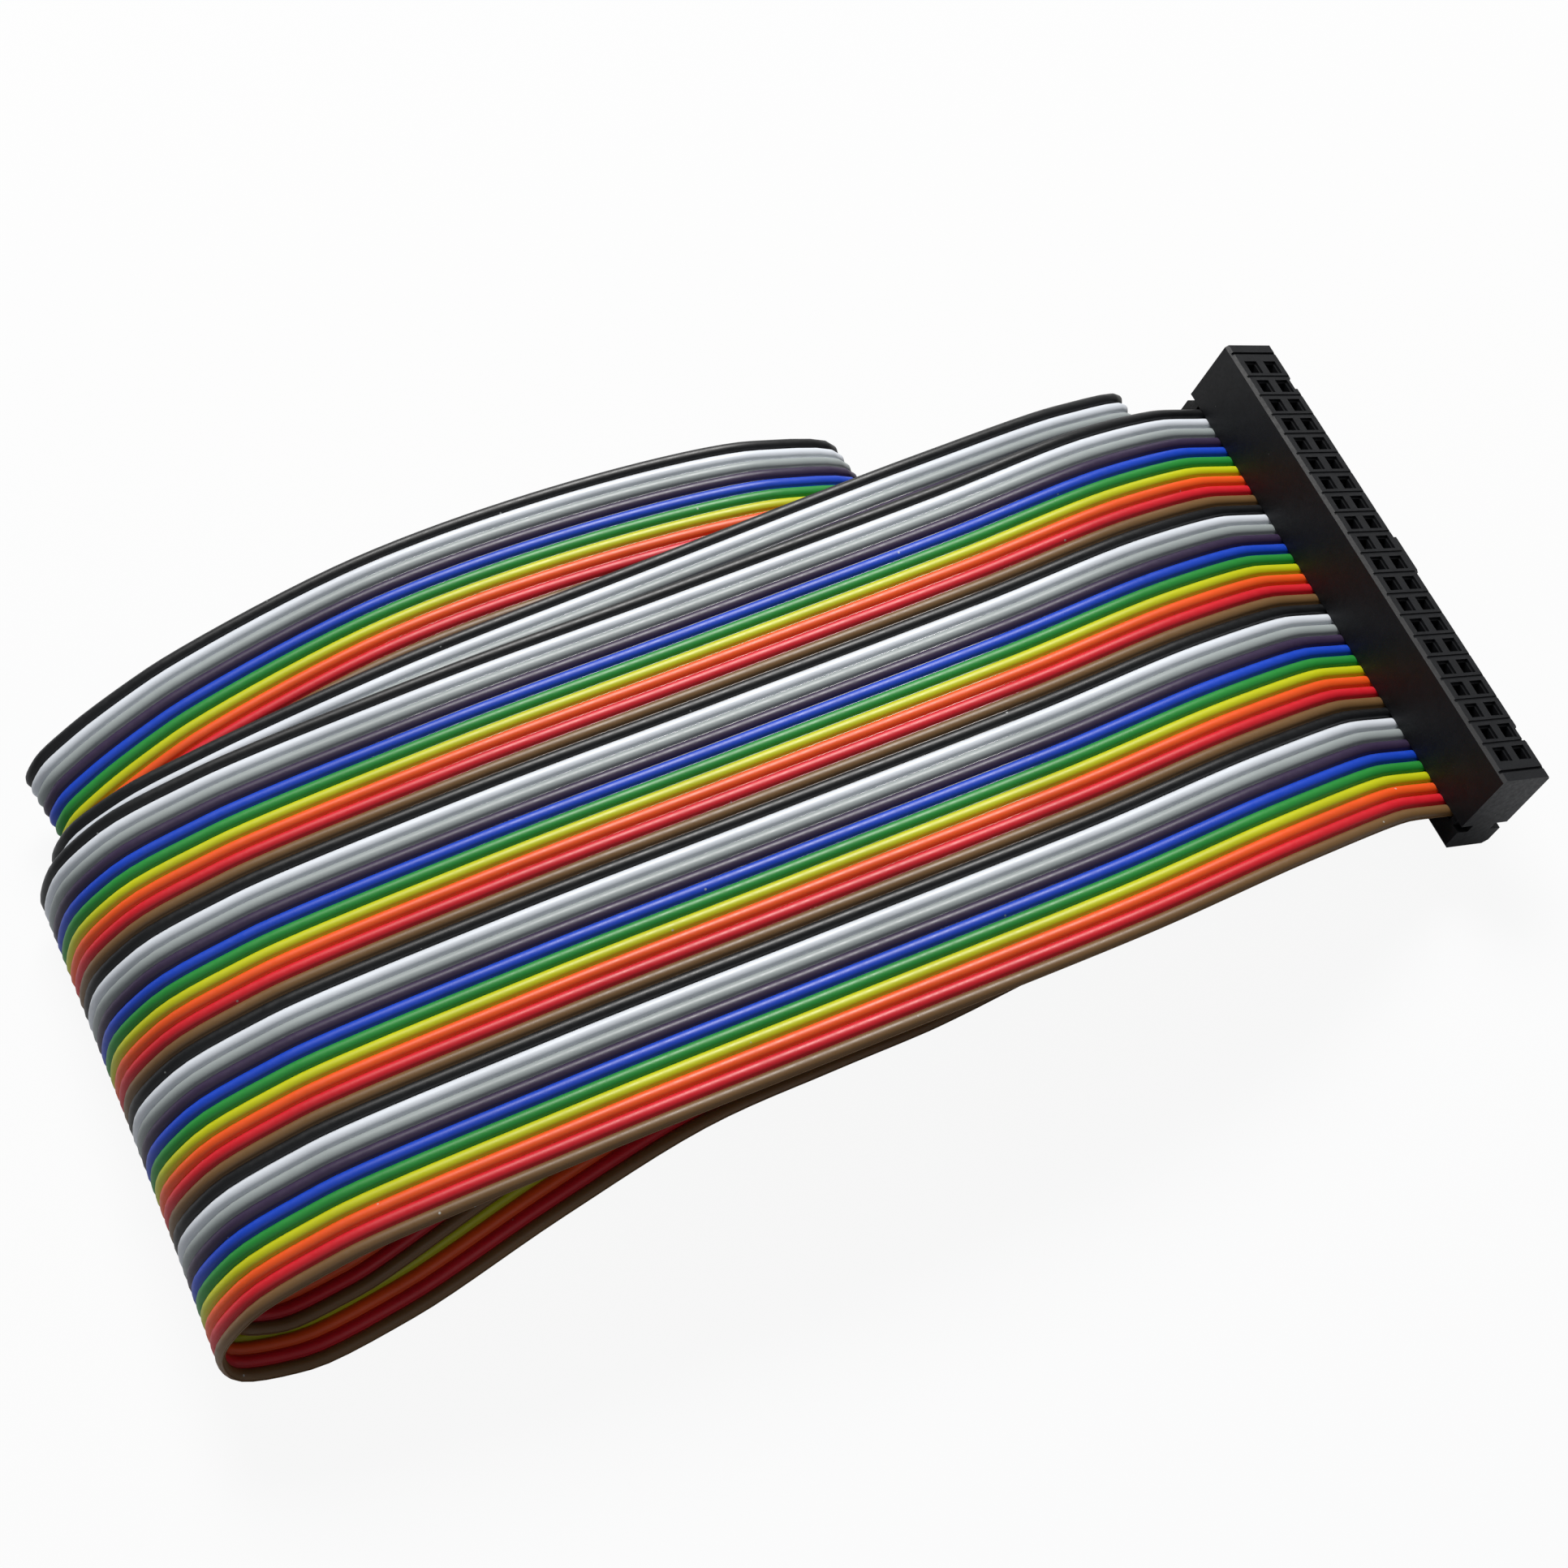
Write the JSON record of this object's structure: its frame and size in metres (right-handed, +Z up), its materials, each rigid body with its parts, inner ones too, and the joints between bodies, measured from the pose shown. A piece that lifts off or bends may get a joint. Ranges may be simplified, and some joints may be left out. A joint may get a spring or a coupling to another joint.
{
  "type": "ribbon cable",
  "caption": "Flat multicolour ribbon cable folded in a loose flat coil, with a black two-row socket pressed onto each end.",
  "frame": {"origin": "on the surface that the coil lies on, below the middle of the object's bounding box", "axes": "+X along the upper stretch of ribbon towards the visible socket, +Y across the ribbon from the first conductor's edge to the last, +Z up"},
  "size_m": [0.1311, 0.0683, 0.0191],
  "materials": {
    "insulation_brown": "satin PVC insulation",
    "insulation_red": "satin PVC insulation",
    "insulation_orange": "satin PVC insulation",
    "insulation_yellow": "satin PVC insulation",
    "insulation_green": "satin PVC insulation",
    "insulation_blue": "satin PVC insulation",
    "insulation_violet": "satin PVC insulation",
    "insulation_grey": "satin PVC insulation",
    "insulation_white": "satin PVC insulation",
    "insulation_black": "satin PVC insulation",
    "socket_plastic": "moulded, fine satin",
    "contact_metal": "gold-flashed copper alloy"
  },
  "bodies": {
    "root": {"conductor_01_brown": "insulation_brown", "conductor_02_red": "insulation_red", "conductor_03_orange": "insulation_orange", "conductor_04_yellow": "insulation_yellow", "conductor_05_green": "insulation_green", "conductor_06_blue": "insulation_blue", "conductor_07_violet": "insulation_violet", "conductor_08_grey": "insulation_grey", "conductor_09_white": "insulation_white", "conductor_10_black": "insulation_black", "conductor_11_brown": "insulation_brown", "conductor_12_red": "insulation_red", "conductor_13_orange": "insulation_orange", "conductor_14_yellow": "insulation_yellow", "conductor_15_green": "insulation_green", "conductor_16_blue": "insulation_blue", "conductor_17_violet": "insulation_violet", "conductor_18_grey": "insulation_grey", "conductor_19_white": "insulation_white", "conductor_20_black": "insulation_black", "conductor_21_brown": "insulation_brown", "conductor_22_red": "insulation_red", "conductor_23_orange": "insulation_orange", "conductor_24_yellow": "insulation_yellow", "conductor_25_green": "insulation_green", "conductor_26_blue": "insulation_blue", "conductor_27_violet": "insulation_violet", "conductor_28_grey": "insulation_grey", "conductor_29_white": "insulation_white", "conductor_30_black": "insulation_black", "conductor_31_brown": "insulation_brown", "conductor_32_red": "insulation_red", "conductor_33_orange": "insulation_orange", "conductor_34_yellow": "insulation_yellow", "conductor_35_green": "insulation_green", "conductor_36_blue": "insulation_blue", "conductor_37_violet": "insulation_violet", "conductor_38_grey": "insulation_grey", "conductor_39_white": "insulation_white", "conductor_40_black": "insulation_black", "housing_a": "socket_plastic", "cover_a": "socket_plastic", "contacts_a_inner": "contact_metal", "contacts_a_outer": "contact_metal", "housing_b": "socket_plastic", "cover_b": "socket_plastic", "contacts_b_inner": "contact_metal", "contacts_b_outer": "contact_metal"}
  },
  "joints": []
}
